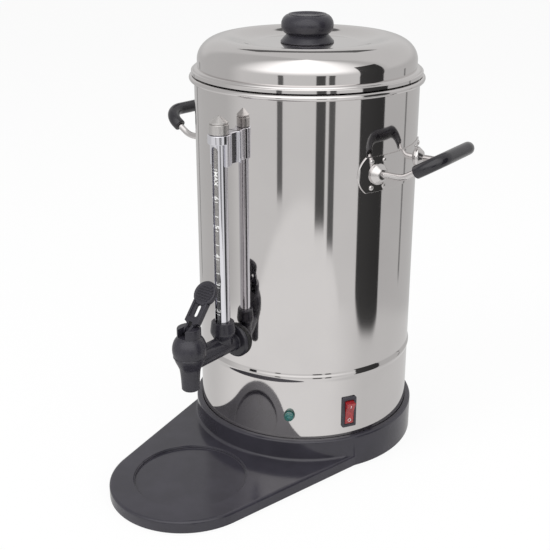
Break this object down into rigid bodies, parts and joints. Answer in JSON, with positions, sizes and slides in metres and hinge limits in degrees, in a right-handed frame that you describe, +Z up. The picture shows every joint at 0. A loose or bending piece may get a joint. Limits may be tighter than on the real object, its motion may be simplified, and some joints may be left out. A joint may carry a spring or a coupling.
{
  "type": "coffee urn",
  "caption": "Polished steel coffee urn with a lift-off lid, side loop handles, a slotted level gauge over a plastic lever tap, and a black base with a cup rest.",
  "frame": {"origin": "on the urn's axis, on the surface that it stands on", "axes": "+Z up along the urn's axis; -Y to the front, where the tap, gauge and cup rest are; +X to the side with the switch and lamp"},
  "size_m": [0.3344, 0.369, 0.4263],
  "materials": {
    "polished_steel": "mirror-polished stainless steel sheet",
    "satin_steel": "plain stainless steel",
    "zinc_sheet": "plated steel",
    "dark_steel": "heat-darkened tube",
    "cast_aluminium": "as cast",
    "grey_metal": "satin grey",
    "brass": "bare brass",
    "black_plastic": "satin black",
    "grip_plastic": "smooth black sleeve",
    "ivory_plastic": "natural",
    "ceramic_white": "off-white block",
    "dark_green_plastic": "satin dark green",
    "green_lens": "translucent green",
    "red_plastic": "translucent red",
    "rubber": "black rubber",
    "silicone": "milky silicone",
    "gauge_glass": "clear tube"
  },
  "bodies": {
    "body": {"base_tray": "black_plastic", "base_plate": "zinc_sheet", "base_screws": "zinc_sheet", "rubber_feet": "rubber", "heater_skirt": "polished_steel", "vessel": "polished_steel", "heater_plate": "cast_aluminium", "heating_element": "dark_steel", "thermostats": "zinc_sheet", "thermostat_strap": "zinc_sheet", "terminal_block": "ceramic_white", "centre_stud": "zinc_sheet", "stud_nuts": "zinc_sheet", "power_inlet": "black_plastic", "inlet_pins": "brass", "switch_housing": "black_plastic", "lamp_holder": "dark_green_plastic", "lamp_lens": "green_lens", "lamp_nut": "zinc_sheet", "tap_body": "black_plastic", "tap_bonnet": "black_plastic", "lever_pin": "zinc_sheet", "tap_gasket": "rubber", "tap_inner_gasket": "rubber", "tap_nut": "black_plastic", "gauge_glass": "gauge_glass", "gauge_guard": "polished_steel", "gauge_seals": "rubber", "gauge_bracket": "polished_steel", "bracket_screw": "zinc_sheet", "handle_plate_right": "polished_steel", "handle_rod_right": "polished_steel", "handle_grip_right": "grip_plastic", "handle_rosettes_right": "polished_steel", "handle_rivets_right": "polished_steel", "handle_plate_left": "polished_steel", "handle_rod_left": "polished_steel", "handle_grip_left": "grip_plastic", "handle_rosettes_left": "polished_steel", "handle_rivets_left": "polished_steel"},
    "rocker": {"switch_rocker": "red_plastic"},
    "lever": {"tap_lever": "black_plastic"},
    "valve": {"valve_stem": "ivory_plastic", "seat_cup": "silicone"},
    "gauge_top": {"gauge_cap": "grey_metal"},
    "lid": {"lid_shell": "polished_steel", "lid_knob": "black_plastic", "knob_screw": "zinc_sheet", "knob_washer": "zinc_sheet"},
    "spreader_plate": {"spreader": "satin_steel"},
    "coffee_basket": {"basket": "satin_steel"},
    "pump": {"pump_tube": "satin_steel", "pump_foot": "cast_aluminium"}
  },
  "joints": [
    {"name": "lid_lift", "type": "slide", "parent": "body", "child": "lid", "axis": [0, 0, 1], "range_m": [0, 0.36]},
    {"name": "spreader_lift", "type": "slide", "parent": "body", "child": "spreader_plate", "axis": [0, 0, 1], "range_m": [0, 0.324]},
    {"name": "basket_lift", "type": "slide", "parent": "body", "child": "coffee_basket", "axis": [0, 0, 1], "range_m": [0, 0.288]},
    {"name": "pump_lift", "type": "slide", "parent": "body", "child": "pump", "axis": [0, 0, 1], "range_m": [0, 0.252]},
    {"name": "tap_lever_pivot", "type": "hinge", "parent": "body", "child": "lever", "pos_m": [0, -0.173, 0.1627], "axis": [1, 0, 0], "range_deg": [0, 50], "stiffness_Nm_per_rad": 0.06},
    {"name": "valve_lift", "type": "slide", "parent": "body", "child": "valve", "axis": [0, 0, 1], "range_m": [0, 0.003]},
    {"name": "switch_rock", "type": "hinge", "parent": "body", "child": "rocker", "pos_m": [0.09443, -0.05148, 0.06], "axis": [-0.4787, -0.878, 0], "range_deg": [0, 22]},
    {"name": "gauge_cap_lift", "type": "slide", "parent": "body", "child": "gauge_top", "axis": [0, 0, 1], "range_m": [0, 0.025]}
  ],
  "couplings": [
    {"joint": "spreader_lift", "follows": "lid_lift", "ratio": 0.9},
    {"joint": "basket_lift", "follows": "lid_lift", "ratio": 0.8},
    {"joint": "pump_lift", "follows": "lid_lift", "ratio": 0.7},
    {"joint": "valve_lift", "follows": "tap_lever_pivot", "m_per_rad": 0.0034}
  ]
}
